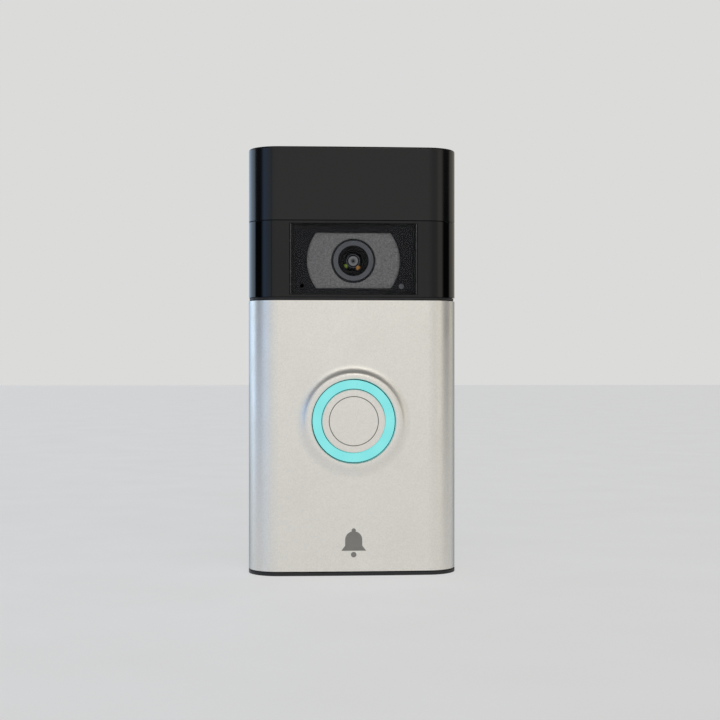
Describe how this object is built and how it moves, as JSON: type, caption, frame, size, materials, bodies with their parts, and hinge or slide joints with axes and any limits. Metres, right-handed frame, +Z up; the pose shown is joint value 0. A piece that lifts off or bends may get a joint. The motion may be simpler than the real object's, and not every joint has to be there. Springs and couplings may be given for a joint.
{
  "type": "video doorbell",
  "caption": "Slim wall-mounted video doorbell: black camera section above a satin metal-look faceplate with a lit ring round its push button.",
  "frame": {"origin": "centre of the back face, which lies flat on the wall", "axes": "+X to the right seen from the front, +Y into the wall, +Z up; the front faces -Y"},
  "size_m": [0.062, 0.028, 0.1264],
  "materials": {
    "black_shell": "fine moulded texture",
    "black_cover": "semi-matte, smooth moulded",
    "gloss_black": "polished",
    "clear_window": "clear, polished",
    "satin_nickel": "satin nickel paint on moulded plastic",
    "emblem_grey": "grey pad-printed ink",
    "ring_light": "translucent, lit teal",
    "bezel_grey": "spark-eroded texture",
    "lens_black": "satin",
    "lens_glass": "coated",
    "black_plastic": "moulded",
    "cream_plastic": "moulded",
    "black_rubber": "soft",
    "wire_red": "insulated wire",
    "circuit_board": "green solder resist on glass laminate",
    "lamp_resin": "resin",
    "steel": "plated",
    "terminal_metal": "plated",
    "paper_cone": "pressed paper",
    "battery_wrap": "shrink wrap over cells",
    "orange_plastic": "moulded"
  },
  "bodies": {
    "housing": {"battery_board": "circuit_board", "battery_foam": "black_rubber", "battery_pack": "battery_wrap", "battery_plug": "cream_plastic", "battery_wires": "wire_red", "board_chips": "black_plastic", "board_plugs": "cream_plastic", "board_screws": "steel", "button_boot": "black_rubber", "button_carrier": "black_plastic", "button_switch": "black_plastic", "camera_bezel": "bezel_grey", "camera_board": "circuit_board", "camera_fascia": "gloss_black", "camera_holder": "lens_black", "camera_window": "clear_window", "charging_socket": "steel", "front_housing": "black_shell", "front_lens": "lens_glass", "housing_gasket": "black_rubber", "housing_screws": "steel", "image_sensor": "black_plastic", "infrared_boards": "circuit_board", "infrared_lamps": "lamp_resin", "lens_barrel": "lens_black", "light_pipe": "lens_glass", "light_ring": "ring_light", "light_sensor": "black_plastic", "main_board": "circuit_board", "microphone": "black_plastic", "microphone_boot": "black_rubber", "motion_board": "circuit_board", "motion_sensors": "steel", "motion_shroud": "black_plastic", "power_board": "circuit_board", "processor_shield": "steel", "rear_housing": "black_shell", "rear_lens": "lens_glass", "ring_board": "circuit_board", "ring_board_screws": "steel", "ring_lamps": "lamp_resin", "security_screw": "steel", "sensor_cover": "black_cover", "setup_switch": "black_plastic", "speaker_cone": "paper_cone", "speaker_frame": "black_plastic", "speaker_gasket": "black_rubber", "speaker_magnet": "steel", "terminal_plates": "terminal_metal", "terminal_screws": "steel", "wifi_antenna": "circuit_board", "window_seal": "black_rubber"},
    "faceplate": {"faceplate": "satin_nickel", "bell_emblem": "emblem_grey"},
    "front_button": {"button_cap": "satin_nickel", "button_clip": "steel", "button_plunger": "black_plastic"},
    "setup_button": {"setup_button": "orange_plastic", "setup_plunger": "black_plastic"}
  },
  "joints": [
    {"name": "faceplate_slide", "type": "slide", "parent": "housing", "child": "faceplate", "axis": [0, -1, 0], "range_m": [0, 0.03]},
    {"name": "front_button_press", "type": "slide", "parent": "housing", "child": "front_button", "axis": [0, 1, 0], "range_m": [0, 0.0006], "stiffness_N_per_m": 3000, "springref_m": -0.0003, "deforming": ["button_boot"]},
    {"name": "setup_button_press", "type": "slide", "parent": "housing", "child": "setup_button", "axis": [0, -1, 0], "range_m": [0, 0.0004], "stiffness_N_per_m": 4000, "springref_m": -0.0002}
  ]
}
